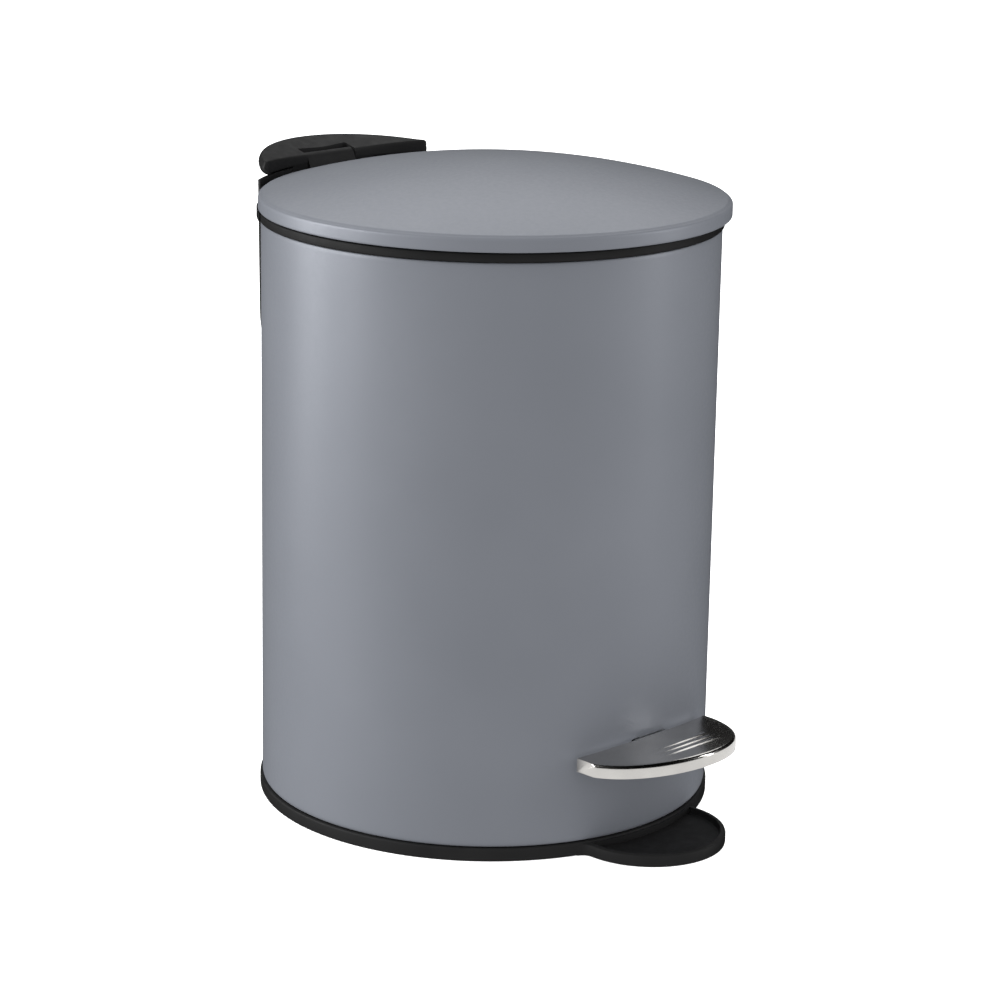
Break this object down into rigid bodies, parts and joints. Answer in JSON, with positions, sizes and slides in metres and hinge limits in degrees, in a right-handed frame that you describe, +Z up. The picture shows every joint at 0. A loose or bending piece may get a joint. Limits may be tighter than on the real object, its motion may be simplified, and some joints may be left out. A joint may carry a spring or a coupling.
{
  "type": "pedal trash can",
  "caption": "Small round pedal bin with a painted steel body, a hinged domed lid worked by a front pedal, a rear carrying handle and a lift-out inner bucket.",
  "frame": {"origin": "on the floor, under the axis of the round body", "axes": "+Z up; -Y towards the pedal (front); +Y towards the hinge and handle (back); X along the hinge"},
  "size_m": [0.1744, 0.2213, 0.2419],
  "materials": {
    "slate_paint": "satin slate-grey metallic lacquer",
    "black_plastic": "moulded black, lightly textured",
    "dark_liner": "moulded dark grey, smooth",
    "stainless_steel": "polished stainless steel",
    "zinc_steel": "zinc-plated steel",
    "grey_rubber": "matt dark rubber"
  },
  "bodies": {
    "body": {"outer_shell": "slate_paint", "base_tray": "black_plastic", "slot_grommet": "black_plastic", "top_ring": "black_plastic", "bail_grip": "black_plastic", "carry_handle": "black_plastic", "rear_cover": "black_plastic", "rear_clamp_block": "black_plastic", "rod_guide_lower": "black_plastic", "rod_guide_upper": "black_plastic", "inner_bucket": "dark_liner", "bucket_bail": "zinc_steel", "hinge_pin": "zinc_steel", "cover_screw_left": "zinc_steel", "cover_screw_right": "zinc_steel", "handle_screw_left": "zinc_steel", "handle_screw_right": "zinc_steel", "lever_bracket": "zinc_steel", "lever_pin": "zinc_steel", "pin_clip_left": "zinc_steel", "pin_clip_right": "zinc_steel", "bracket_screw_front": "zinc_steel", "bracket_screw_rear": "zinc_steel", "foot_pad_1": "grey_rubber", "foot_pad_2": "grey_rubber", "foot_pad_3": "grey_rubber", "foot_pad_4": "grey_rubber", "lid_bumper_front": "grey_rubber", "lid_bumper_left": "grey_rubber", "lid_bumper_right": "grey_rubber"},
    "lid": {"lid_shell": "slate_paint", "lid_liner": "dark_liner", "lid_hinge_arm": "black_plastic", "crank_pin": "zinc_steel", "arm_screw_left": "zinc_steel", "arm_screw_right": "zinc_steel"},
    "pedal": {"pedal_plate": "stainless_steel", "pedal_lever": "zinc_steel", "pedal_rivet_left": "zinc_steel", "pedal_rivet_right": "zinc_steel"},
    "rod": {"push_rod": "zinc_steel", "rod_cap": "black_plastic", "rod_foot": "black_plastic"}
  },
  "joints": [
    {"name": "lid_hinge", "type": "hinge", "parent": "body", "child": "lid", "pos_m": [0, 0.0905, 0.231], "axis": [-1, 0, 0], "range_deg": [0, 80]},
    {"name": "pedal_pivot", "type": "hinge", "parent": "body", "child": "pedal", "pos_m": [0, -0.045, 0.0333], "axis": [1, 0, 0], "range_deg": [0, 7.5]},
    {"name": "rod_slide", "type": "slide", "parent": "body", "child": "rod", "axis": [0, 0, 1], "range_m": [0, 0.0164]}
  ],
  "couplings": [
    {"joint": "pedal_pivot", "follows": "lid_hinge", "ratio": 0.09313},
    {"joint": "rod_slide", "follows": "lid_hinge", "m_per_rad": 0.011674}
  ]
}
